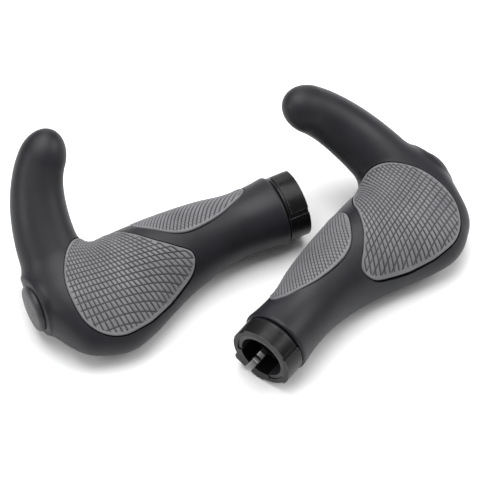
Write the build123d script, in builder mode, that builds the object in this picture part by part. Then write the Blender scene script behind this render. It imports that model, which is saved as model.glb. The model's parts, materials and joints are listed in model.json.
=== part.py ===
from build123d import *
import os
from math import cos, pi, radians, sin

# Bar end grips: a left and a right lock-on grip for a 22.2 mm handlebar, mirror images of each other.
# One grip is modelled in its own frame: X runs along the handlebar's axis from the outer end (x = 0)
# to the clamp, Y points forwards, to the horn's side, and Z points up.

# ---- Driving dimensions (mm) ----
BAR_BORE_R = 11.15               # slips over a 22.2 mm bar
SLEEVE_R = 13.2                  # outside of the nylon sleeve
SLEEVE_START_X = 1.5
SLEEVE_END_X = 136.2
BAR_STOP_X = 14.0                # the end of the bar meets a step in the sleeve here
RUBBER_END_X = 125.8             # inner end of the rubber, next to the lock ring
RUBBER_SKIN = 4.2                # rubber over the nylon skeleton
AXIS_HEIGHT = 17.2               # the bar's axis above the table that the grips lie on

# Hand rest: x, half-width in front, half-width behind, height, depth, droop of the rear edge.
REST_SECTIONS = [
    (1.0, 13.2, 14.0, 13.2, 13.2, 0.0),
    (8.0, 15.0, 28.0, 15.3, 15.1, 1.8),
    (20.0, 16.2, 36.6, 17.1, 16.7, 3.0),
    (32.0, 17.6, 38.9, 18.8, 17.2, 3.8),
    (45.0, 19.0, 34.9, 19.9, 17.2, 3.9),
    (58.0, 19.0, 28.4, 20.6, 17.2, 3.8),
    (72.0, 19.0, 21.8, 19.7, 17.0, 3.4),
    (90.0, 18.1, 17.0, 17.7, 16.6, 1.2),
    (108.0, 15.6, 15.4, 15.6, 15.6, 0.0),
    (118.0, 16.2, 16.2, 16.2, 16.2, 0.0),
    (RUBBER_END_X, 17.2, 17.2, 17.2, 17.2, 0.0),
]
SECTION_POINTS = 16

# Horn: a Bezier centre line, and ellipses across it: place along the line, half-width, half-depth.
HORN_LINE = [(18.4, -4.0, 0.0), (10.8, 20.5, 11.5), (19.5, 57.1, 36.6), (39.5, 54.0, 45.6)]
HORN_SECTIONS = [
    (0.0, 17.1, 15.0),
    (0.18, 15.8, 13.8),
    (0.36, 14.7, 12.7),
    (0.54, 13.6, 11.8),
    (0.70, 12.4, 11.0),
    (0.82, 11.7, 10.3),
]
HORN_TIP_LENGTH = 16.0           # the rounded end, beyond the last section
HORN_TIP_ANGLES = (25, 45, 62, 76, 86)

BOSS_R = 15.0                    # round outer end, over the end of the bar
BOSS_LENGTH = 22.0
BOSS_ROUNDING = 2.5

# Pads: outlines seen square to the face that each one covers.
PAD_DEPTH = 1.8
PAD_PROUD = 0.25                 # the pads stand this far above the black rubber
PAD_GAP = 0.35                   # groove around each pad
PALM_OUTLINE = [
    (31.0, 15.0), (40.0, 13.8), (47.5, 10.2), (53.0, 4.0), (60.0, -3.4), (68.0, -9.2), (75.0, -13.6),
    (73.2, -18.6), (64.8, -23.6), (53.5, -29.4), (42.0, -33.8), (30.0, -35.4), (20.5, -32.0),
    (14.2, -24.0), (12.9, -13.0), (15.4, -1.5), (22.5, 9.6),
]
PALM_FLOOR_Z = 1.0              # the palm pad covers the top only
FINGER_OUTLINE = [
    (55.6, -1.0), (56.4, 5.5), (60.0, 11.0), (66.5, 14.6), (74.0, 15.9), (82.5, 15.9), (92.0, 15.0),
    (101.0, 12.8), (109.0, 8.8), (113.6, 2.0), (111.0, -3.2), (104.0, -7.2), (95.0, -11.2),
    (85.0, -13.6), (75.5, -14.6), (68.5, -13.4), (62.5, -9.8), (58.0, -5.5),
]
FINGER_TILT = 35.0               # the finger pad faces up and forwards, this far from upright

# Lock ring: angles run around the bar from the top (0) backwards.
RING_START_X = 126.4
RING_WIDTH = 10.4
RING_R = 15.8
RING_BORE_R = 13.25              # slides on the sleeve
RING_KEY_R = 11.3                # the key reaches through the sleeve, next to the bar
RING_KEY_ANGLES = (158.0, 256.0)
RING_SHOULDERS = [(-36.0, 50.0, 16.6, 1.6), (59.0, 126.0, 16.3, 0.0)]   # from, to, radius, set back
RING_SPLIT_ANGLE = 206.0
RING_CHAMFER = 0.35
# Corners of the lug for the screw, and of the cut for the split: outwards from the bar's axis, along the screw.
LUG_CORNERS = [(12.5, -9.0), (14.4, -8.6), (16.3, -5.5), (16.6, 0.0), (17.1, 2.0), (17.1, 7.6), (15.6, 9.0), (11.0, 9.0)]
SPLIT_CORNERS = [(10.0, -1.7), (20.0, -1.7), (20.0, 1.7), (10.0, 1.7)]
SLOT_CLEARANCE = 1.0             # degrees between the key and the slot in the sleeve
SLOT_START_X = 126.0

# Clamp screw: M3, crossing the split at a tangent.
SCREW_R = 1.5
SCREW_HOLE_R = 1.55
SCREW_OFFSET = 13.3              # from the bar's axis to the screw's axis
SCREW_LENGTH = 12.0
SCREW_SEAT = 5.2                 # from the middle of the split to the underside of the head
SCREW_HEAD_R = 2.75
SCREW_HEAD_HEIGHT = 3.0
SCREW_POCKET_R = 2.95
HEX_KEY_WIDTH = 2.5
HEX_KEY_DEPTH = 1.6
SCREW_CHAMFER = 0.3
SCREW_SEAT_GAP = 0.05            # the head stands this far off its seat
SCREW_POCKET_DEPTH = 8.0         # open to the outside of the lug
SCREW_HOLE_DEPTH = 13.0

# End plug, in the sleeve's outer end.
PLUG_HEAD_R = 10.35
PLUG_DOME = 2.6
PLUG_SKIRT_R = 10.45
PLUG_SKIRT_WALL = 1.8
PLUG_END_X = 12.5
SOCKET_R = 10.5                  # the plug's skirt slides in this
RUBBER_MOUTH_R = 10.8            # opening in the rubber around the plug's head

# Where the grips lie: x and y of each one's middle, and its turn about Z.
GRIP_MIDDLE_X = 68.0
LEFT_PLACE = (-34.6, -21.7, 27.1)
RIGHT_PLACE = (50.4, -26.2, 53.5)


# ---- The moulded outside ----
def section_outline(front, rear, height, depth, droop):
    """Points around a hand rest section: two half-ellipses that share the top and the bottom."""
    points = []
    for step in range(SECTION_POINTS):
        angle = 2 * pi * step / SECTION_POINTS
        reach = front if sin(angle) > 0 else rear
        rise = height if cos(angle) > 0 else depth
        sag = droop * sin(angle) ** 2 if sin(angle) < 0 else 0.0
        points.append((reach * sin(angle), rise * cos(angle) - sag))
    return points


def hand_rest(inset):
    """The body around the bar, with the wing that carries the palm, drawn in by inset."""
    with BuildPart() as rest:
        for x, front, rear, height, depth, droop in REST_SECTIONS:
            with BuildSketch(Plane.YZ.offset(x)):
                with BuildLine():
                    Spline(
                        *section_outline(front - inset, rear - inset, height - inset, depth - inset, droop),
                        periodic=True,
                    )
                make_face()
        loft()
    return rest.part


def horn_plane(line, place, beyond=0.0):
    """A plane across the horn's centre line, its X kept level with the bar."""
    along = line % place
    across = Vector(1, 0, 0) - along * along.X
    return Plane(origin=(line @ place) + along * beyond, x_dir=across, z_dir=along)


def horn(inset):
    """The forward horn, thick where it leaves the hand rest and round at its tip, drawn in by inset."""
    line = Edge.make_bezier(*HORN_LINE)
    tip_place, tip_width, tip_depth = HORN_SECTIONS[-1]
    with BuildPart() as prong:
        for place, width, depth in HORN_SECTIONS:
            with BuildSketch(horn_plane(line, place)):
                Ellipse(width - inset, depth - inset)
        for angle in HORN_TIP_ANGLES:
            beyond = (HORN_TIP_LENGTH - inset) * sin(radians(angle))
            shrink = cos(radians(angle))
            with BuildSketch(horn_plane(line, tip_place, beyond)):
                Ellipse((tip_width - inset) * shrink, (tip_depth - inset) * shrink)
        loft()
    return prong.part


def moulding(inset):
    """Hand rest, horn and outer boss as one closed shape."""
    with BuildPart() as shape:
        with BuildSketch(Plane.YZ.offset(max(inset, 0.0))):
            Circle(BOSS_R - inset)
        extrude(amount=BOSS_LENGTH)
        fillet(shape.faces().sort_by(Axis.X)[0].edges(), BOSS_ROUNDING)
        add(hand_rest(inset))
        add(horn(inset))
    return shape.part


def grown(outline, amount):
    """A clockwise outline with each point moved outwards."""
    points = [Vector(*point) for point in outline]
    moved = []
    for before, point, after in zip(points[-1:] + points[:-1], points, points[1:] + points[:1]):
        along = (after - before).normalized()
        moved.append(point + Vector(-along.Y, along.X) * amount)
    return moved


def region(plane, outline, grow, height):
    """A prism over a pad's outline."""
    with BuildPart() as prism:
        with BuildSketch(plane):
            with BuildLine():
                Spline(*grown(outline, grow), periodic=True)
            make_face()
        extrude(amount=height)
    return prism.part


PALM_PLANE = Plane.XY.offset(PALM_FLOOR_Z)
FINGER_PLANE = Plane(
    origin=(0, 0, 0),
    x_dir=(1, 0, 0),
    z_dir=(0, sin(radians(FINGER_TILT)), cos(radians(FINGER_TILT))),
)
PALM_REACH = 30.0
FINGER_REACH = 24.0

outside = moulding(0.0)
pad_tops = moulding(-PAD_PROUD)
pad_floor = moulding(PAD_DEPTH)
palm_region = region(PALM_PLANE, PALM_OUTLINE, 0.0, PALM_REACH)
palm_pocket = region(PALM_PLANE, PALM_OUTLINE, PAD_GAP, PALM_REACH)
finger_region = region(FINGER_PLANE, FINGER_OUTLINE, 0.0, FINGER_REACH)
finger_pocket = region(FINGER_PLANE, FINGER_OUTLINE, PAD_GAP, FINGER_REACH)


# ---- Ring geometry helpers ----
def ring_point(radius, degrees):
    """Y and Z of a point around the bar's axis, the angle measured from the top backwards."""
    return (-radius * sin(radians(degrees)), radius * cos(radians(degrees)))


def ring_sector(inner, outer, start, end):
    """A sector of a ring around the bar, as a sketch to add to one that lies across the bar."""
    middle = (start + end) / 2
    with BuildSketch() as sector:
        with BuildLine():
            ThreePointArc(ring_point(outer, start), ring_point(outer, middle), ring_point(outer, end))
            Line(ring_point(outer, end), ring_point(inner, end))
            ThreePointArc(ring_point(inner, end), ring_point(inner, middle), ring_point(inner, start))
            Line(ring_point(inner, start), ring_point(outer, start))
        make_face()
    return sector.sketch


RING_MIDDLE_X = RING_START_X + RING_WIDTH / 2
SPLIT_OUT = Vector(0, *ring_point(1.0, RING_SPLIT_ANGLE))          # from the bar's axis to the split
SCREW_OUT = Vector(0, *ring_point(1.0, RING_SPLIT_ANGLE + 90.0))   # along the screw, out of its head


def split_point(outwards, along):
    """Y and Z of a point beside the split: outwards from the bar's axis, and along the screw."""
    place = SPLIT_OUT * outwards + SCREW_OUT * along
    return (place.Y, place.Z)


def screw_plane(along):
    """A plane across the screw's axis."""
    origin = Vector(RING_MIDDLE_X, 0, 0) + SPLIT_OUT * SCREW_OFFSET + SCREW_OUT * along
    return Plane(origin=origin, x_dir=(1, 0, 0), z_dir=SCREW_OUT)


SCREW_PLACE = screw_plane(0.0).origin


# ---- Sleeve: glass-filled nylon tube with the skeleton of the wing and the horn ----
with BuildPart() as core_shape:
    add(hand_rest(RUBBER_SKIN))
    add(horn(RUBBER_SKIN))
    with BuildSketch(Plane.YZ):
        Circle(2 * BOSS_R)
    extrude(amount=SLEEVE_START_X, mode=Mode.SUBTRACT)
    with BuildSketch(Plane.YZ.offset(SLEEVE_START_X)):
        Circle(SLEEVE_R)
    extrude(amount=SLEEVE_END_X - SLEEVE_START_X)

with BuildPart() as sleeve:
    add(core_shape.part)
    with BuildSketch(Plane.YZ):
        Circle(SOCKET_R)
    extrude(amount=BAR_STOP_X, mode=Mode.SUBTRACT)
    with BuildSketch(Plane.YZ.offset(BAR_STOP_X)):
        Circle(BAR_BORE_R)
    extrude(amount=SLEEVE_END_X - BAR_STOP_X, mode=Mode.SUBTRACT)
    with BuildSketch(Plane.YZ.offset(SLOT_START_X)):
        slot_angles = (RING_KEY_ANGLES[0] - SLOT_CLEARANCE, RING_KEY_ANGLES[1] + SLOT_CLEARANCE)
        add(ring_sector(BAR_BORE_R - 1.0, SLEEVE_R + 1.0, *slot_angles))
    extrude(amount=SLEEVE_END_X - SLOT_START_X, mode=Mode.SUBTRACT)

# ---- Rubber: moulded over the sleeve, with a pocket for each pad ----
with BuildPart() as pockets:
    add(palm_pocket)
    add(finger_pocket)
    add(pad_floor, mode=Mode.SUBTRACT)

with BuildPart() as rubber:
    add(outside)
    add(core_shape.part, mode=Mode.SUBTRACT)
    with BuildSketch(Plane.YZ):
        Circle(RUBBER_MOUTH_R)
    extrude(amount=SLEEVE_START_X, mode=Mode.SUBTRACT)
    add(pockets.part, mode=Mode.SUBTRACT)

# ---- Pads: grey, softer, textured; each fills its pocket and stands slightly proud ----
with BuildPart() as palm_pad:
    add(pad_tops)
    add(palm_region, mode=Mode.INTERSECT)
    add(pad_floor, mode=Mode.SUBTRACT)

with BuildPart() as finger_pad:
    add(pad_tops)
    add(finger_region, mode=Mode.INTERSECT)
    add(pad_floor, mode=Mode.SUBTRACT)

# ---- Lock ring: split aluminium ring with a key that reaches through the sleeve ----
with BuildPart() as lock_ring:
    with BuildSketch(Plane.YZ.offset(RING_START_X)):
        Circle(RING_R)
        Polygon(*[split_point(*corner) for corner in LUG_CORNERS], align=None)
        Circle(RING_BORE_R, mode=Mode.SUBTRACT)
        add(ring_sector(RING_KEY_R, RING_BORE_R + 0.5, *RING_KEY_ANGLES))
    extrude(amount=RING_WIDTH)
    chamfer(lock_ring.faces().sort_by(Axis.X)[-1].outer_wire().edges(), RING_CHAMFER)
    chamfer(lock_ring.faces().sort_by(Axis.X)[0].outer_wire().edges(), RING_CHAMFER)
    for start, end, radius, set_back in RING_SHOULDERS:
        with BuildSketch(Plane.YZ.offset(RING_START_X + set_back)):
            add(ring_sector(RING_BORE_R + 1.0, radius, start, end))
        extrude(amount=RING_WIDTH - set_back)
    with BuildSketch(Plane.YZ.offset(RING_START_X)):
        Polygon(*[split_point(*corner) for corner in SPLIT_CORNERS], align=None)
    extrude(amount=RING_WIDTH, mode=Mode.SUBTRACT)
    with BuildSketch(screw_plane(SCREW_SEAT)):
        Circle(SCREW_POCKET_R)
    extrude(amount=SCREW_POCKET_DEPTH, mode=Mode.SUBTRACT)
    with BuildSketch(screw_plane(SCREW_SEAT)):
        Circle(SCREW_HOLE_R)
    extrude(amount=-SCREW_HOLE_DEPTH, mode=Mode.SUBTRACT)

# ---- Clamp screw: socket head, in the ring's lug ----
with BuildPart() as clamp_screw:
    with BuildSketch(screw_plane(SCREW_SEAT + SCREW_SEAT_GAP)):
        Circle(SCREW_HEAD_R)
    extrude(amount=SCREW_HEAD_HEIGHT)
    head_top = clamp_screw.faces().sort_by(Axis(SCREW_PLACE, SCREW_OUT))[-1]
    chamfer(head_top.edges(), SCREW_CHAMFER)
    with BuildSketch(screw_plane(SCREW_SEAT + SCREW_SEAT_GAP)):
        Circle(SCREW_R)
    extrude(amount=-SCREW_LENGTH)
    with BuildSketch(screw_plane(SCREW_SEAT + SCREW_SEAT_GAP + SCREW_HEAD_HEIGHT)):
        RegularPolygon(HEX_KEY_WIDTH / 2, 6, major_radius=False)
    extrude(amount=-HEX_KEY_DEPTH, mode=Mode.SUBTRACT)

# ---- End plug: a domed head on a hollow skirt ----
with BuildPart() as end_plug:
    with BuildSketch(Plane.XY):
        with BuildLine():
            dome = ThreePointArc((-PLUG_DOME, 0), (-0.72 * PLUG_DOME, 0.62 * PLUG_HEAD_R), (0.3, PLUG_HEAD_R))
            Polyline(
                dome @ 1,
                (SLEEVE_START_X + 0.1, PLUG_HEAD_R),
                (SLEEVE_START_X + 0.1, PLUG_SKIRT_R),
                (PLUG_END_X, PLUG_SKIRT_R),
                (PLUG_END_X, PLUG_SKIRT_R - PLUG_SKIRT_WALL),
                (SLEEVE_START_X + 0.1, PLUG_SKIRT_R - PLUG_SKIRT_WALL),
                (SLEEVE_START_X + 0.1, 0),
                dome @ 0,
            )
        make_face()
    revolve(axis=Axis.X)

# ---- The pair: the right grip is the left one's mirror image ----
GRIP_PARTS = {
    "sleeve": sleeve,
    "rubber_body": rubber,
    "palm_pad": palm_pad,
    "finger_pad": finger_pad,
    "lock_ring": lock_ring,
    "clamp_screw": clamp_screw,
    "end_plug": end_plug,
}


def placed(solid, place, mirrored):
    """One piece of a grip, moved from the grip's own frame to where the grip lies."""
    x, y, turn = place
    centred = Pos(-GRIP_MIDDLE_X, 0, 0) * solid
    handed = mirror(centred, about=Plane.YZ) if mirrored else centred
    return Location((x, y, AXIS_HEIGHT), (0, 0, turn)) * handed


pieces = {}
for side, place, mirrored in (("left", LEFT_PLACE, False), ("right", RIGHT_PLACE, True)):
    for name, builder in GRIP_PARTS.items():
        pieces[f"{side}_{name}"] = placed(builder.part, place, mirrored)

# The frame's origin is the middle of the pair's footprint, on the table.
boxes = [piece.bounding_box() for piece in pieces.values()]
middle_x = (min(box.min.X for box in boxes) + max(box.max.X for box in boxes)) / 2
middle_y = (min(box.min.Y for box in boxes) + max(box.max.Y for box in boxes)) / 2
table_z = min(box.min.Z for box in boxes)
to_origin = Pos(-middle_x, -middle_y, -table_z)

os.makedirs("parts", exist_ok=True)
for name, piece in pieces.items():
    node = to_origin * piece
    node.label = name
    export_step(node, f"parts/{name}.step")
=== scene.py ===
import json
import math

import bmesh
import bpy
import numpy as np
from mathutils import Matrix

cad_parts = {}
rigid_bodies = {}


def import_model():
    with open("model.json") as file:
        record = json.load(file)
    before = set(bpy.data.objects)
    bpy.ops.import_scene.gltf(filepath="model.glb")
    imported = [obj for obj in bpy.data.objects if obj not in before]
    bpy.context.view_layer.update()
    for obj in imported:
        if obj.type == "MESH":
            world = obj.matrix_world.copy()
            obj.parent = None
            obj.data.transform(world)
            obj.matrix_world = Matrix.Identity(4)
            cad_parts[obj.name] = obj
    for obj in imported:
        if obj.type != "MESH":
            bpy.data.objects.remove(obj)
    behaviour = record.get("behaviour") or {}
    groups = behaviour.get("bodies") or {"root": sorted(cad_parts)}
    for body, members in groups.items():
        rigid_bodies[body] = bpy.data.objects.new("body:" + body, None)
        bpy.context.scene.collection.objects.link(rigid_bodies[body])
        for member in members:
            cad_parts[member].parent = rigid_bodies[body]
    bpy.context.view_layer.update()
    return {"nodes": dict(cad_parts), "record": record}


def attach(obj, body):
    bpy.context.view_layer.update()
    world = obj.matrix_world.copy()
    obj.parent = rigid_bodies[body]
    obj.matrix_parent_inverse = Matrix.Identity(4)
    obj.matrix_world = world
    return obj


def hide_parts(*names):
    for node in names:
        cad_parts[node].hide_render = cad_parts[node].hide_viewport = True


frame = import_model()

# One grip is modelled in millimetres in its own frame: X along the handlebar's axis from the outer
# end to the clamp, Y forwards to the horn's side, Z up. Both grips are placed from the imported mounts.

MM = 0.001

# ---- Shape of the rubber moulding ----
# REST_SECTIONS up to x = 90, HORN_LINE and HORN_SECTIONS started as the output of a fit to the photo's
# outlines, and part of their values were then changed.
RUBBER_END_X = 125.8
BAR_STOP_X = 14.0                # the bore's wall starts here
# x, half-width in front, half-width behind, height, depth, droop of the rear edge
REST_SECTIONS = np.array([
    (1.0, 13.2, 14.0, 13.2, 13.2, 0.0),
    (8.0, 15.0, 28.0, 15.3, 15.1, 1.8),
    (20.0, 16.2, 36.6, 17.1, 16.7, 3.0),
    (32.0, 17.6, 38.9, 18.8, 17.2, 3.8),
    (45.0, 19.0, 34.9, 19.9, 17.2, 3.9),
    (58.0, 19.0, 28.4, 20.6, 17.2, 3.8),
    (72.0, 19.0, 21.8, 19.7, 17.0, 3.4),
    (90.0, 18.1, 17.0, 17.7, 16.6, 1.2),
    (108.0, 15.6, 15.4, 15.6, 15.6, 0.0),
    (118.0, 16.2, 16.2, 16.2, 16.2, 0.0),
    (RUBBER_END_X, 17.2, 17.2, 17.2, 17.2, 0.0),
])
HORN_LINE = np.array([(18.4, -4.0, 0.0), (10.8, 20.5, 11.5), (19.5, 57.1, 36.6), (39.5, 54.0, 45.6)])
# place along the line, half-width, half-depth
HORN_SECTIONS = np.array([
    (0.0, 17.1, 15.0),
    (0.18, 15.8, 13.8),
    (0.36, 14.7, 12.7),
    (0.54, 13.6, 11.8),
    (0.70, 12.4, 11.0),
    (0.82, 11.7, 10.3),
])
HORN_TIP_LENGTH = 16.0
BOSS_R = 15.0
BOSS_ROUNDING = 2.5
CROTCH_BLEND = 9.0               # how softly the horn grows out of the hand rest
BLEND_FADE = 13.0                # the blend fades over this depth below the bar's axis
UNDERSIDE_BLEND = 0.08           # share of the blend that is left there
BOSS_BLEND = 1.5
END_ROUNDING = 1.6
BORE_R = 13.25
MOUTH_R = 10.8
MOUTH_DEPTH = 1.5

# ---- Fineness of the meshes and of the tables they are read from ----
REST_POINTS = 500
HORN_POINTS = 161
HORN_COARSE = 4                  # a first search of the horn's line looks at every so many points
NET_STEP = 0.8
NET_LOW = (-2.0, -42.0, -20.0)   # the moulding lies between these corners
NET_HIGH = (129.0, 72.0, 62.0)
POINTS_AT_ONCE = 200000
EDGE_POINTS_AT_ONCE = 20000
LATHE_POINTS_AROUND = 96
CUTTER_OVERSHOOT = 5.0           # the bore's cutter reaches this far past both ends

# ---- End plug: x and radius, from the middle of the head round its edge to the inside of the skirt ----
PLUG_PROFILE = [
    (-3.7, 2.5), (-3.62, 6.0), (-3.4, 8.8), (-3.05, 10.2), (-2.5, 10.95), (-1.8, 11.2), (-0.85, 11.2),
    (-0.5, 10.9), (-0.45, 10.3), (1.6, 10.3), (1.6, 10.45), (12.2, 10.45), (12.5, 10.15),
    (12.5, 8.65), (1.6, 8.65), (1.6, 3.0),
]

# ---- Pads ----
PAD_GAP = 0.5
PAD_PROUD = 0.3
POCKET_DEPTH = 1.7
PAD_UNDERSIDE = 1.5
PALM_OUTLINE = np.array([
    (32.5, 17.0), (41.0, 15.2), (48.0, 11.0), (53.2, 4.2), (60.0, -3.4), (68.0, -9.2), (75.0, -13.6),
    (73.2, -18.6), (64.8, -23.6), (53.5, -29.4), (42.0, -34.0), (30.0, -35.8), (20.5, -32.4),
    (14.0, -24.5), (12.4, -13.0), (14.4, -1.5), (21.5, 9.6),
])
FINGER_OUTLINE = np.array([
    (55.6, -1.0), (56.4, 5.5), (60.0, 11.0), (66.5, 14.6), (74.0, 15.9), (82.5, 15.9), (92.0, 15.0),
    (101.0, 12.8), (109.0, 8.8), (113.6, 2.0), (111.0, -3.2), (104.0, -7.2), (95.0, -11.2),
    (85.0, -13.6), (75.5, -14.6), (68.5, -13.4), (62.5, -9.8), (58.0, -5.5),
])
FINGER_TILT = math.radians(35.0)
PALM_CENTRE = np.array([40.0, -12.0])
FINGER_CENTRE = np.array([83.0, 1.0])
HOLLOW_HEIGHT = 3.0              # a hollow's cutter stands this far out of the moulding
CURVE_STEPS = 40                 # steps between two points of an outline
PAD_POINTS_AROUND = 640
PAD_RINGS = 110
UNDERSIDE_STEP = 6               # the underside has one ring for this many on top
RAY_REACH = 30.0                 # the surface under a pad is looked for this far above the axis's plane
RAY_HALVINGS = 18

# Rim of a pad
RIM_WIDTH = 0.75                 # smooth edge around the texture
RIM_FADE = 0.35                  # the texture sets in over this width
RIM_ROUND = 0.45
RIM_BEAD = 0.12                  # height of the low bead that runs along the rim
RIM_BEAD_PLACE = 0.5
RIM_BEAD_WIDTH = 0.4
RELIEF = 0.55                    # depth of the texture

# Palm texture: grooves that fan out from a point, crossed by rows
FAN_CENTRE = (22.0, 62.0)
FAN_BEND = 0.00002
FAN_BEND_REACH = 54.0            # the bend is least at this distance from the fan's centre
FAN_LINES = 39.0
FAN_SHARP = 1.4
ROW_START_Y = 46.0               # the rows widen away from here
ROW_SLOPE = 0.12
ROW_MIDDLE_X = 40.0
ROW_LINES = 21.0
ROW_SHARP = 2.2
ROW_FLOOR = 0.1                  # share of the height that is left in a row's groove

# Finger texture: two slanting families of ribs, one of them faint
FIRST_ACROSS = (0.8, -0.6)
FIRST_WIDTH = 1.6
FIRST_SHARP = 1.6
FIRST_BEND = 0.0035
FIRST_BEND_MIDDLE = 80.0
SECOND_ACROSS = (0.68, 0.73)
SECOND_WIDTH = 1.5
SECOND_SHARP = 1.8
FAINT_FLOOR = 0.4                # share of the height that is left in a faint groove


# ---- Distance functions, negative inside ----
def through(stations, values, at):
    """A smooth curve through values at stations, read at other places."""
    slopes = np.gradient(values, stations)
    i = np.clip(np.searchsorted(stations, at, side="right") - 1, 0, len(stations) - 2)
    span = stations[i + 1] - stations[i]
    t = (at - stations[i]) / span
    start = (1 + 2 * t) * (1 - t) ** 2 * values[i] + t * (1 - t) ** 2 * span * slopes[i]
    end = t * t * (3 - 2 * t) * values[i + 1] + t * t * (t - 1) * span * slopes[i + 1]
    return start + end


REST_X = np.linspace(REST_SECTIONS[0, 0], RUBBER_END_X, REST_POINTS)
REST_TABLE = [through(REST_SECTIONS[:, 0], column, REST_X) for column in REST_SECTIONS[:, 1:].T]


def rest_distance(p):
    """The body around the bar, with the wing that carries the palm."""
    x, y, z = p.T
    front, rear, height, depth, droop = (np.interp(x, REST_X, column) for column in REST_TABLE)
    reach = np.where(y > 0, front, rear)
    side = y / reach
    sag = np.where(y > 0, 0.0, droop) * side
    lifted = z + sag * side
    rise = np.where(lifted > 0, height, depth)
    up = lifted / rise
    rho = np.sqrt(side ** 2 + up ** 2) + 1e-9
    slope_y = (side + 2 * up * sag / rise) / reach
    slope_z = up / rise
    distance = (rho - 1) * rho / np.sqrt(slope_y ** 2 + slope_z ** 2 + 1e-12)
    return np.maximum(distance, REST_SECTIONS[0, 0] - x)


def horn_tables():
    """Points along the horn's centre line, with the direction and the two cross axes at each."""
    t = np.linspace(0, 1, HORN_POINTS)[:, None]
    a, b, c, d = HORN_LINE
    at = a * (1 - t) ** 3 + 3 * b * t * (1 - t) ** 2 + 3 * c * t * t * (1 - t) + d * t ** 3
    along = 3 * (b - a) * (1 - t) ** 2 + 6 * (c - b) * t * (1 - t) + 3 * (d - c) * t * t
    along /= np.linalg.norm(along, axis=1, keepdims=True)
    across = np.array([1.0, 0.0, 0.0]) - along * along[:, :1]
    across /= np.linalg.norm(across, axis=1, keepdims=True)
    run = np.concatenate([[0], np.cumsum(np.linalg.norm(np.diff(at, axis=0), axis=1))])
    return at, along, across, np.cross(along, across), run


HORN_AT, HORN_ALONG, HORN_ACROSS, HORN_UP, HORN_RUN = horn_tables()
HORN_TIP_RUN = HORN_SECTIONS[-1, 0] * HORN_RUN[-1]


def read_rows(run, rows):
    """Rows of a table along the horn, read between its points."""
    return np.stack([np.interp(run, HORN_RUN, column) for column in rows.T], 1)


def horn_place(p):
    """How far along the horn's centre line each point is, and its offset from there."""
    coarse = HORN_AT[::HORN_COARSE]
    nearest = ((coarse ** 2).sum(1) - 2 * p @ coarse.T).argmin(1) * HORN_COARSE
    run = HORN_RUN[nearest]
    for _ in range(3):
        offset = p - read_rows(run, HORN_AT)
        along = read_rows(run, HORN_ALONG)
        run = np.clip(run + (offset * along).sum(1), 0, HORN_TIP_RUN)
    return run, p - read_rows(run, HORN_AT)


def horn_distance(p):
    """The forward horn with its round tip."""
    run, offset = horn_place(p)
    place = run / HORN_RUN[-1]
    width = np.interp(place, HORN_SECTIONS[:, 0], HORN_SECTIONS[:, 1])
    depth = np.interp(place, HORN_SECTIONS[:, 0], HORN_SECTIONS[:, 2])
    parts = [
        (offset * read_rows(run, HORN_ACROSS)).sum(1) / width,
        (offset * read_rows(run, HORN_UP)).sum(1) / depth,
        (offset * read_rows(run, HORN_ALONG)).sum(1) / HORN_TIP_LENGTH,
    ]
    rho = np.sqrt(sum(part ** 2 for part in parts)) + 1e-9
    slope = np.sqrt(
        (parts[0] / width) ** 2 + (parts[1] / depth) ** 2 + (parts[2] / HORN_TIP_LENGTH) ** 2 + 1e-12
    )
    return (rho - 1) * rho / slope


def boss_distance(p):
    """The round outer end, over the end of the bar."""
    out = np.hypot(p[:, 1], p[:, 2]) - (BOSS_R - BOSS_ROUNDING)
    back = BOSS_ROUNDING - p[:, 0]
    corner = np.hypot(np.maximum(out, 0), np.maximum(back, 0))
    return corner + np.minimum(np.maximum(out, back), 0) - BOSS_ROUNDING


def smooth_min(a, b, blend):
    """The smaller of two distances, with a soft join."""
    h = np.clip(0.5 + 0.5 * (b - a) / blend, 0, 1)
    return b * (1 - h) + a * h - blend * h * (1 - h)


def body_distance(p):
    """The whole moulding."""
    blend = CROTCH_BLEND * np.clip(1 + p[:, 2] / BLEND_FADE, UNDERSIDE_BLEND, 1)
    distance = smooth_min(rest_distance(p), horn_distance(p), blend)
    distance = smooth_min(distance, boss_distance(p), BOSS_BLEND)
    return -smooth_min(-distance, RUBBER_END_X - p[:, 0], END_ROUNDING)


def gradient(p, distance=body_distance, step=0.02):
    """Slope of a distance function."""
    slopes = []
    for axis in range(3):
        shift = np.zeros(3)
        shift[axis] = step
        slopes.append((distance(p + shift) - distance(p - shift)) / (2 * step))
    return np.stack(slopes, 1)


def unit(rows):
    """Rows scaled to a length of 1."""
    return rows / (np.linalg.norm(rows, axis=1, keepdims=True) + 1e-12)


def settle(p, rounds=4):
    """Moves points onto the surface of the moulding."""
    for _ in range(rounds):
        slope = gradient(p)
        move = body_distance(p) / ((slope ** 2).sum(1) + 1e-9)
        p = p - slope * np.clip(move, -NET_STEP, NET_STEP)[:, None]
    return p


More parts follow.
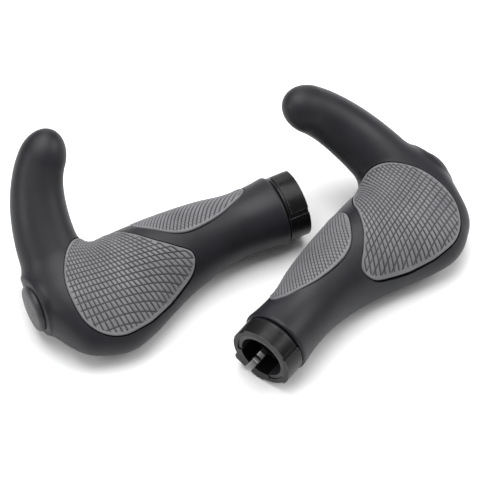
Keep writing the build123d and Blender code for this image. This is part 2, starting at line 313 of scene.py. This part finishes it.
# ---- Surface of a distance function ----
def surface_net(distance, low, high, step):
    """Vertices and quads where distance changes sign, one vertex to a cell of the grid."""
    axes = [np.arange(a, b + step, step) for a, b in zip(low, high)]
    grid = np.stack(np.meshgrid(*axes, indexing="ij"), -1)
    flat = grid.reshape(-1, 3)
    chunks = [distance(part) for part in np.array_split(flat, 1 + len(flat) // POINTS_AT_ONCE)]
    value = np.concatenate(chunks).reshape(grid.shape[:3])
    shape = tuple(n - 1 for n in value.shape)
    total = np.zeros(shape + (3,))
    count = np.zeros(shape)
    crossings = []
    for axis in range(3):
        first = np.take(value, range(value.shape[axis] - 1), axis)
        second = np.take(value, range(1, value.shape[axis]), axis)
        cross = (first < 0) != (second < 0)
        share = np.where(cross, first / np.where(cross, first - second, 1), 0)
        point = np.take(grid, range(value.shape[axis] - 1), axis).copy()
        point[..., axis] += share * step
        point *= cross[..., None]
        crossings.append((cross, first < 0))
        others = [k for k in range(3) if k != axis]
        for du in (0, 1):
            for dv in (0, 1):
                pick = [slice(None)] * 3
                pick[others[0]] = slice(du, du + shape[others[0]])
                pick[others[1]] = slice(dv, dv + shape[others[1]])
                total += point[tuple(pick)]
                count += cross[tuple(pick)]
    active = count > 0
    number = np.full(shape, -1)
    number[active] = np.arange(active.sum())
    vertices = total[active] / count[active][:, None]
    quads = []
    for axis, (cross, inside) in enumerate(crossings):
        u, v = [k for k in range(3) if k != axis]
        where = np.argwhere(cross)
        facing = inside[cross]
        corners = []
        for du, dv in ((1, 1), (0, 1), (0, 0), (1, 0)):
            cell = where.copy()
            cell[:, u] -= du
            cell[:, v] -= dv
            corners.append(number[tuple(cell.T)])
        ring = np.stack(corners, 1)
        forward = facing if axis != 1 else ~facing
        quads.append(np.where(forward[:, None], ring, ring[:, ::-1]))
    return vertices, np.concatenate(quads)


def relax(p, quads):
    """Evens out the spacing of the vertices."""
    total = np.zeros_like(p)
    count = np.zeros(len(p))
    for a in range(4):
        for b in (quads[:, (a + 1) % 4], quads[:, (a + 3) % 4]):
            np.add.at(total, quads[:, a], p[b])
            np.add.at(count, quads[:, a], 1)
    return 0.5 * p + 0.5 * total / count[:, None]


# ---- Pads ----
def closed_curve(points, count):
    """A smooth closed curve through points, evenly divided."""
    size = len(points)
    slopes = (np.roll(points, -1, 0) - np.roll(points, 1, 0)) / 2
    dense = []
    for t in np.linspace(0, 1, CURVE_STEPS, endpoint=False):
        after, slope_after = np.roll(points, -1, 0), np.roll(slopes, -1, 0)
        start = (1 + 2 * t) * (1 - t) ** 2 * points + t * (1 - t) ** 2 * slopes
        end = t * t * (3 - 2 * t) * after + t * t * (t - 1) * slope_after
        dense.append(start + end)
    line = np.stack(dense, 1).reshape(size * CURVE_STEPS, 2)
    line = np.concatenate([line, line[:1]])
    run = np.concatenate([[0], np.cumsum(np.linalg.norm(np.diff(line, axis=0), axis=1))])
    places = np.linspace(0, run[-1], count, endpoint=False)
    return np.stack([np.interp(places, run, line[:, k]) for k in range(2)], 1)


def outwards(line):
    """Directions square to a clockwise closed line, pointing out of it."""
    along = unit(np.roll(line, -1, 0) - np.roll(line, 1, 0))
    return np.stack([-along[:, 1], along[:, 0]], 1)


def edge_distance(points, line):
    """Distance of flat points from a closed line."""
    nearest = []
    for part in np.array_split(points, 1 + len(points) // EDGE_POINTS_AT_ONCE):
        apart = (part ** 2).sum(1)[:, None] - 2 * part @ line.T + (line ** 2).sum(1)
        nearest.append(np.sqrt(np.maximum(apart.min(1), 0)))
    return np.concatenate(nearest)


def cast(flat, face):
    """Points of the moulding's surface over flat points of a face."""
    right, forward, up = face
    base = flat[:, :1] * right + flat[:, 1:] * forward
    low = np.zeros(len(flat))
    high = np.full(len(flat), RAY_REACH)
    for _ in range(RAY_HALVINGS):
        middle = (low + high) / 2
        inside = body_distance(base + middle[:, None] * up) < 0
        low = np.where(inside, middle, low)
        high = np.where(inside, high, middle)
    return base + ((low + high) / 2)[:, None] * up


PALM_FACE = np.eye(3)
FINGER_FACE = np.array([
    (1.0, 0.0, 0.0),
    (0.0, math.cos(FINGER_TILT), -math.sin(FINGER_TILT)),
    (0.0, math.sin(FINGER_TILT), math.cos(FINGER_TILT)),
])


def ridge(phase, sharp):
    """1 on the land between grooves, 0 at the bottom of a groove, one groove to each whole phase."""
    across = np.abs((phase % 1.0) - 0.5) * 2
    rise = np.clip((1 - across) * sharp, 0, 1)
    return rise * (2 - rise)


def faint(height, floor):
    """Grooves made shallower, so that a share of the height is left in them."""
    return floor + (1 - floor) * height


def palm_pattern(flat):
    """Grooves that fan out from a point in front of the pad, crossed by rows that widen to the rear."""
    x, y = flat.T
    reach = np.hypot(x - FAN_CENTRE[0], FAN_CENTRE[1] - y)
    turn = np.arctan2(x - FAN_CENTRE[0], FAN_CENTRE[1] - y)
    first = (turn - FAN_BEND * (reach - FAN_BEND_REACH) ** 2) * FAN_LINES
    second = np.log(ROW_START_Y - y - ROW_SLOPE * (x - ROW_MIDDLE_X)) * ROW_LINES
    return np.minimum(ridge(first, FAN_SHARP), faint(ridge(second, ROW_SHARP), ROW_FLOOR))


def finger_ribs(flat):
    """The two slanting families of grooves on the finger pad."""
    u, w = flat.T
    bend = FIRST_BEND * (u - FIRST_BEND_MIDDLE) ** 2
    first = (FIRST_ACROSS[0] * u + FIRST_ACROSS[1] * w - bend) / FIRST_WIDTH
    second = (SECOND_ACROSS[0] * u + SECOND_ACROSS[1] * w) / SECOND_WIDTH
    return ridge(first, FIRST_SHARP), ridge(second, SECOND_SHARP)


def left_finger_pattern(flat):
    """The first family deep, the second faint."""
    first, second = finger_ribs(flat)
    return np.minimum(first, faint(second, FAINT_FLOOR))


def right_finger_pattern(flat):
    """The first family faint, the second deep."""
    first, second = finger_ribs(flat)
    return np.minimum(faint(first, FAINT_FLOOR), second)


def fan_faces(rings, around, first_centre, last_centre):
    """Faces of a closed form made of rings, with a vertex at the middle of each end."""
    i = np.arange(around)
    j = (i + 1) % around
    quads = []
    for k in range(rings - 1):
        a, b = k * around, (k + 1) * around
        quads.append(np.stack([a + i, a + j, b + j, b + i], 1))
    start = np.stack([np.full(around, first_centre), j, i], 1)
    last = (rings - 1) * around
    end = np.stack([last + i, last + j, np.full(around, last_centre)], 1)
    return np.concatenate(quads).tolist() + start.tolist() + end.tolist()


def pad_form(outline, face, centre, pattern=None):
    """A pad with its texture, or with no pattern the hollow that it sits in."""
    line = closed_curve(outline, PAD_POINTS_AROUND if pattern else PAD_POINTS_AROUND // 2)
    if pattern is None:
        line = line + outwards(line) * PAD_GAP
    around = len(line)
    rings = PAD_RINGS if pattern else PAD_RINGS // 3
    shares = np.linspace(1, 0, rings, endpoint=False)
    flat = np.concatenate([centre + (line - centre) * share for share in shares] + [centre[None]])
    top = cast(flat, face)
    normal = unit(gradient(top))
    if pattern:
        edge = edge_distance(flat, closed_curve(outline, PAD_POINTS_AROUND * 3))
        edge[:around] = 0
        fade = np.clip((edge - RIM_WIDTH) / RIM_FADE, 0, 1)
        land = 1 - fade * (1 - pattern(flat))
        drop = np.clip(1 - edge / RIM_ROUND, 0, 1)
        height = PAD_PROUD - RELIEF * (1 - land) - RIM_ROUND * (1 - np.sqrt(1 - drop ** 2))
        height += RIM_BEAD * np.clip(1 - np.abs(edge - RIM_BEAD_PLACE) / RIM_BEAD_WIDTH, 0, 1)
        under = -PAD_UNDERSIDE
    else:
        land = np.ones(len(flat))
        height = np.full(len(flat), HOLLOW_HEIGHT)
        under = -POCKET_DEPTH
    upper = top + normal * height[:, None]
    coarse = np.arange(0, rings, UNDERSIDE_STEP)[::-1]
    picks = np.concatenate([np.arange(k * around, (k + 1) * around) for k in coarse])
    lower = top[picks] + normal[picks] * under
    lower_centre = top[-1] + normal[-1] * under
    vertices = np.concatenate([lower, upper[:-1], [lower_centre, upper[-1]]])
    lands = np.concatenate([np.ones(len(lower)), land[:-1], [1.0, land[-1]]])
    count = len(coarse) + rings
    faces = fan_faces(count, around, count * around, count * around + 1)
    return vertices, faces, lands


def lathe(profile, around=LATHE_POINTS_AROUND):
    """A closed form turned about X, from (x, radius) pairs along its outline."""
    angles = np.linspace(0, 2 * math.pi, around, endpoint=False)
    rings = [np.stack([np.full(around, x), r * np.cos(angles), r * np.sin(angles)], 1) for x, r in profile]
    ends = [(profile[0][0], 0, 0), (profile[-1][0], 0, 0)]
    count = len(profile)
    faces = fan_faces(count, around, count * around, count * around + 1)
    return np.concatenate(rings + [ends]), faces


# ---- Placing ----
def placement(side):
    """Origin and axes of a grip's own frame, from the handlebar bore's mount."""
    mount = next(m for m in frame["record"]["mounts"] if m["name"] == side + "_bar_bore")
    along = np.array(mount["axis"], float)
    forward = np.array([-along[1], along[0], 0.0])
    if side == "right":
        forward = -forward
    axes = np.stack([along, forward, (0.0, 0.0, 1.0)])
    start = BAR_STOP_X + mount["dims"]["length_mm"] / 2
    return np.array(mount["pos_m"]) - along * start * MM, axes


def body_with(node):
    """The body that a CAD node belongs to."""
    return next(b for b, nodes in frame["record"]["behaviour"]["bodies"].items() if node in nodes)


def add_mesh(name, vertices, faces):
    """A new object in the scene."""
    mesh = bpy.data.meshes.new(name)
    mesh.from_pydata(np.asarray(vertices).tolist(), [], faces)
    mesh.update()
    piece = bpy.data.objects.new(name, mesh)
    bpy.context.collection.objects.link(piece)
    return piece


def tidy_mesh(mesh, sharp_angle):
    """Outward normals, smooth faces, and hard edges where the faces turn sharply."""
    form = bmesh.new()
    form.from_mesh(mesh)
    bmesh.ops.recalc_face_normals(form, faces=form.faces)
    if form.calc_volume(signed=True) < 0:
        bmesh.ops.reverse_faces(form, faces=form.faces)
    for f in form.faces:
        f.smooth = True
    form.to_mesh(mesh)
    form.free()
    mesh.set_sharp_from_angle(angle=sharp_angle)


def mesh_rows(mesh):
    """A mesh's vertices and faces as plain rows."""
    points = np.empty(len(mesh.vertices) * 3)
    mesh.vertices.foreach_get("co", points)
    return points.reshape(-1, 3), [tuple(f.vertices) for f in mesh.polygons]


def place_piece(name, side, vertices, faces, material, slot_name, node, land=None, sharp=40.0):
    """A piece made in a grip's own frame, put where it belongs in place of a CAD node."""
    origin, axes = placement(side)
    piece = add_mesh(name, origin + np.asarray(vertices) @ axes * MM, faces)
    tidy_mesh(piece.data, math.radians(sharp))
    # The land share goes with the mesh; the pad's material uses it to paint shade into the grooves.
    if land is not None:
        layer = piece.data.attributes.new("land", "FLOAT", "POINT")
        layer.data.foreach_set("value", np.asarray(land, float))
    piece.data.materials.append(material)
    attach(piece, body_with(node))
    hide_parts(node)
    return piece


# ---- Materials ----
WEAR_AND_HIGHLIGHT_FULL = 0.86                 # an edge that turns this sharply, as a cosine, gets the full lighter edge colour: wear on the rubber, a painted highlight on the ring
WEAR_AND_HIGHLIGHT_NONE = 0.985
WEAR_AND_HIGHLIGHT_SAMPLES = 6


class Shader:
    """A procedural material, built up node by node."""

    def __init__(self, name, colour, roughness, **sockets):
        self.material = bpy.data.materials.new(name)
        self.material.use_nodes = True
        self.nodes = self.material.node_tree.nodes
        self.links = self.material.node_tree.links
        self.surface = self.nodes["Principled BSDF"]
        self.surface.inputs["Base Color"].default_value = (*colour, 1)
        self.surface.inputs["Roughness"].default_value = roughness
        for socket, value in sockets.items():
            self.surface.inputs[socket.replace("_", " ")].default_value = value
        self.place = self.nodes.new("ShaderNodeTexCoord").outputs["Object"]

    def noise(self, scale, detail=3.0):
        node = self.nodes.new("ShaderNodeTexNoise")
        node.inputs["Scale"].default_value = scale
        node.inputs["Detail"].default_value = detail
        self.links.new(self.place, node.inputs["Vector"])
        return node.outputs["Fac"]

    def spread(self, value, low, high, start=0.3, end=0.7):
        node = self.nodes.new("ShaderNodeMapRange")
        for socket, number in zip(("From Min", "From Max", "To Min", "To Max"), (start, end, low, high)):
            node.inputs[socket].default_value = number
        self.links.new(value, node.inputs["Value"])
        return node.outputs["Result"]

    def blend(self, share, first, second):
        """A colour between two, each one a colour or a socket."""
        node = self.nodes.new("ShaderNodeMix")
        node.data_type = "RGBA"
        self.links.new(share, node.inputs["Factor"])
        for socket, colour in ((node.inputs[6], first), (node.inputs[7], second)):
            if isinstance(colour, tuple):
                socket.default_value = (*colour, 1)
            else:
                self.links.new(colour, socket)
        return node.outputs[2]

    def bump(self, height, strength, distance):
        node = self.nodes.new("ShaderNodeBump")
        node.inputs["Strength"].default_value = strength
        node.inputs["Distance"].default_value = distance
        self.links.new(height, node.inputs["Height"])
        previous = self.surface.inputs["Normal"]
        if previous.is_linked:
            self.links.new(previous.links[0].from_socket, node.inputs["Normal"])
        self.links.new(node.outputs["Normal"], previous)

    def set(self, socket, value):
        self.links.new(value, self.surface.inputs[socket])


def edge_wear_and_highlight(shader, base, worn_and_highlit, width):
    """Lighter colour where the surface turns sharply within a width in metres; on the rubber this is wear,
    on the anodised ring a painted highlight.
    """
    geometry = shader.nodes.new("ShaderNodeNewGeometry")
    rounded = shader.nodes.new("ShaderNodeBevel")
    rounded.samples = WEAR_AND_HIGHLIGHT_SAMPLES
    rounded.inputs["Radius"].default_value = width
    turn = shader.nodes.new("ShaderNodeVectorMath")
    turn.operation = "DOT_PRODUCT"
    shader.links.new(geometry.outputs["True Normal"], turn.inputs[0])
    shader.links.new(rounded.outputs["Normal"], turn.inputs[1])
    amount = shader.spread(turn.outputs["Value"], 1.0, 0.0, WEAR_AND_HIGHLIGHT_FULL, WEAR_AND_HIGHLIGHT_NONE)
    return shader.blend(amount, base, worn_and_highlit)


def make_rubber():
    shader = Shader("black_rubber", (0.01, 0.01, 0.012), 0.5, Specular_IOR_Level=0.28)
    mottle = shader.spread(shader.noise(60.0), 0, 1)
    tint = shader.blend(mottle, (0.007, 0.007, 0.0095), (0.012, 0.012, 0.0155))
    shader.set("Base Color", edge_wear_and_highlight(shader, tint, (0.03, 0.03, 0.034), 0.0003))
    shader.set("Roughness", shader.spread(shader.noise(45.0), 0.4, 0.52))
    shader.bump(shader.noise(3500.0, 2.0), 0.12, 0.0001)
    shader.bump(shader.noise(300.0, 2.0), 0.06, 0.0003)
    return shader.material


def make_pad():
    shader = Shader("grey_pad", (0.17, 0.17, 0.175), 0.6, Specular_IOR_Level=0.4)
    land = shader.nodes.new("ShaderNodeAttribute")
    land.attribute_name = "land"
    mottle = shader.spread(shader.noise(80.0), 0, 1)
    tint = shader.blend(mottle, (0.12, 0.12, 0.128), (0.16, 0.16, 0.169))
    # Painted shade: the land share darkens the grooves to near black, standing in for the shade that falls
    # in them.
    depth = shader.spread(land.outputs["Fac"], 0.0, 1.0, 0.15, 0.95)
    shader.set("Base Color", shader.blend(depth, (0.016, 0.016, 0.019), tint))
    shader.set("Roughness", shader.spread(shader.noise(70.0), 0.5, 0.68))
    shader.bump(shader.noise(4000.0, 2.0), 0.15, 0.0001)
    return shader.material


def make_anodised():
    shader = Shader("black_anodised", (0.005, 0.005, 0.006), 0.32, Specular_IOR_Level=0.2)
    # The ring's lighter edge colour is a painted highlight, standing in for the light that its chamfers
    # catch.
    shader.set("Base Color", edge_wear_and_highlight(shader, (0.003, 0.003, 0.0035), (0.14, 0.14, 0.148), 0.00018))
    shader.set("Roughness", shader.spread(shader.noise(220.0), 0.26, 0.38))
    shader.bump(shader.noise(5000.0, 2.0), 0.05, 0.00005)
    return shader.material


def make_nylon():
    shader = Shader("black_nylon", (0.012, 0.012, 0.014), 0.45, Specular_IOR_Level=0.4)
    mottle = shader.spread(shader.noise(90.0), 0, 1)
    shader.set("Base Color", shader.blend(mottle, (0.01, 0.01, 0.012), (0.018, 0.018, 0.02)))
    shader.set("Roughness", shader.spread(shader.noise(150.0), 0.38, 0.52))
    shader.bump(shader.noise(2500.0, 2.0), 0.1, 0.0001)
    return shader.material


def make_steel():
    shader = Shader("screw_steel", (0.3, 0.3, 0.31), 0.35, Metallic=0.9)
    # The screw's sharp edges are coloured lighter.
    shader.set("Base Color", edge_wear_and_highlight(shader, (0.3, 0.3, 0.31), (0.6, 0.6, 0.62), 0.0002))
    shader.set("Roughness", shader.spread(shader.noise(900.0), 0.28, 0.42))
    shader.bump(shader.noise(6000.0, 2.0), 0.08, 0.00005)
    return shader.material


def make_plug():
    shader = Shader("grey_plug", (0.026, 0.026, 0.03), 0.42, Specular_IOR_Level=0.35)
    mottle = shader.spread(shader.noise(120.0), 0, 1)
    shader.set("Base Color", shader.blend(mottle, (0.022, 0.022, 0.026), (0.03, 0.03, 0.034)))
    shader.set("Roughness", shader.spread(shader.noise(160.0), 0.36, 0.5))
    shader.bump(shader.noise(3000.0, 2.0), 0.1, 0.0001)
    return shader.material


RUBBER, PAD, PLUG = make_rubber(), make_pad(), make_plug()
CARRIED_OVER = {
    "sleeve": make_nylon(),
    "lock_ring": make_anodised(),
    "clamp_screw": make_steel(),
}


# ---- Rubber moulding ----
def make_moulding(hollows):
    """The moulding's outer skin, with the bore and the pads' hollows cut out of it."""
    points, quads = surface_net(body_distance, NET_LOW, NET_HIGH, NET_STEP)
    points = settle(points)
    for _ in range(2):
        points = settle(relax(points, quads), 2)
    skin = add_mesh("skin", points, quads.tolist())
    tidy_mesh(skin.data, math.pi)
    bore = lathe([
        (-CUTTER_OVERSHOOT, MOUTH_R),
        (MOUTH_DEPTH, MOUTH_R),
        (MOUTH_DEPTH, BORE_R),
        (RUBBER_END_X + CUTTER_OVERSHOOT, BORE_R),
    ])
    for number, (vertices, faces) in enumerate([bore] + hollows):
        cutter = add_mesh("cutter_%d" % number, vertices, faces)
        tidy_mesh(cutter.data, math.pi)
        cut = skin.modifiers.new("cut_%d" % number, "BOOLEAN")
        cut.operation = "DIFFERENCE"
        cut.solver = "MANIFOLD"
        cut.object = cutter
    graph = bpy.context.evaluated_depsgraph_get()
    cut_mesh = bpy.data.meshes.new_from_object(skin.evaluated_get(graph))
    rows = mesh_rows(cut_mesh)
    for piece in [o for o in bpy.data.objects if o.name == "skin" or o.name.startswith("cutter_")]:
        bpy.data.objects.remove(piece)
    return rows


def dress(node, material):
    """Gives a CAD node that is carried over its material."""
    if not node.material_slots:
        node.data.materials.append(material)
    for material_slot in node.material_slots:
        material_slot.link = "OBJECT"
        material_slot.material = material


palm = pad_form(PALM_OUTLINE, PALM_FACE, PALM_CENTRE, palm_pattern)
finger = {
    "left": pad_form(FINGER_OUTLINE, FINGER_FACE, FINGER_CENTRE, left_finger_pattern),
    "right": pad_form(FINGER_OUTLINE, FINGER_FACE, FINGER_CENTRE, right_finger_pattern),
}
palm_hollow = pad_form(PALM_OUTLINE, PALM_FACE, PALM_CENTRE)[:2]
finger_hollow = pad_form(FINGER_OUTLINE, FINGER_FACE, FINGER_CENTRE)[:2]
moulding = make_moulding([palm_hollow, finger_hollow])
plug = lathe(PLUG_PROFILE)

for side in ("left", "right"):
    place_piece(side + "_moulding", side, *moulding, RUBBER, "black_rubber", side + "_rubber_body")
    for name, (vertices, faces, land) in (("palm", palm), ("finger", finger[side])):
        place_piece(
            "%s_%s_grip_pad" % (side, name), side, vertices, faces, PAD, "grey_pad",
            "%s_%s_pad" % (side, name), land,
        )
    place_piece(side + "_plug_cap", side, *plug, PLUG, "grey_plug", side + "_end_plug")
    for name, material in CARRIED_OVER.items():
        dress(frame["nodes"]["%s_%s" % (side, name)], material)


# ---- Studio ----
# The camera's elevation, distance and lens are the rounded output of the same fit.
CAMERA_ELEVATION = math.radians(52.96)
CAMERA_DISTANCE = 1.6
CAMERA_LENS = 249.0
CAMERA_TARGET = (-0.00051, 0.02115, 0.0)
FLOOR_REACH = 3
LIGHT_TARGET = (0.0, 0.0, 0.03)
LIGHTS = [                       # name, place, size, power
    ("overhead", (-0.1, 0.25, 1.3), 1.3, 26.0),
    ("right", (0.9, 0.2, 0.7), 0.5, 5.0),
    ("left", (-0.9, -0.3, 0.6), 0.5, 4.0),
    ("back", (0.0, 1.2, 0.5), 0.6, 2.0),
]
SKY_STRENGTH = 0.35


def make_floor():
    shader = Shader("studio_floor", (0.9, 0.9, 0.9), 0.8)
    shader.set("Roughness", shader.spread(shader.noise(20.0), 0.75, 0.85))
    corners = [(x * FLOOR_REACH, y * FLOOR_REACH, 0) for x, y in ((-1, -1), (1, -1), (1, 1), (-1, 1))]
    floor = add_mesh("floor", corners, [(0, 1, 2, 3)])
    floor.data.materials.append(shader.material)


def soft_light(name, place, size, power):
    """A square light that faces the middle of the object."""
    light = bpy.data.lights.new(name, "AREA")
    light.size = size
    light.energy = power
    lamp = bpy.data.objects.new(name, light)
    lamp.location = place
    aim = np.array(LIGHT_TARGET) - np.array(place)
    lamp.rotation_euler = (
        math.atan2(math.hypot(aim[0], aim[1]), -aim[2]),
        0.0,
        math.atan2(-aim[0], aim[1]),
    )
    bpy.context.collection.objects.link(lamp)


def make_camera():
    """An estimate of the photo's camera."""
    camera = bpy.data.cameras.new("camera")
    camera.sensor_width = 36.0
    camera.lens = CAMERA_LENS
    camera.clip_end = 20.0
    eye = bpy.data.objects.new("camera", camera)
    eye.location = (
        CAMERA_TARGET[0],
        CAMERA_TARGET[1] - CAMERA_DISTANCE * math.cos(CAMERA_ELEVATION),
        CAMERA_TARGET[2] + CAMERA_DISTANCE * math.sin(CAMERA_ELEVATION),
    )
    eye.rotation_euler = (math.pi / 2 - CAMERA_ELEVATION, 0.0, 0.0)
    bpy.context.collection.objects.link(eye)
    bpy.context.scene.camera = eye


def make_sky():
    """An even white light from all around."""
    world = bpy.data.worlds.new("studio")
    world.use_nodes = True
    sky = world.node_tree.nodes["Background"]
    sky.inputs["Color"].default_value = (1.0, 1.0, 1.0, 1.0)
    sky.inputs["Strength"].default_value = SKY_STRENGTH
    bpy.context.scene.world = world


make_floor()
for name, place, size, power in LIGHTS:
    soft_light(name, place, size, power)
make_camera()
make_sky()
bpy.context.scene.view_settings.view_transform = "Standard"
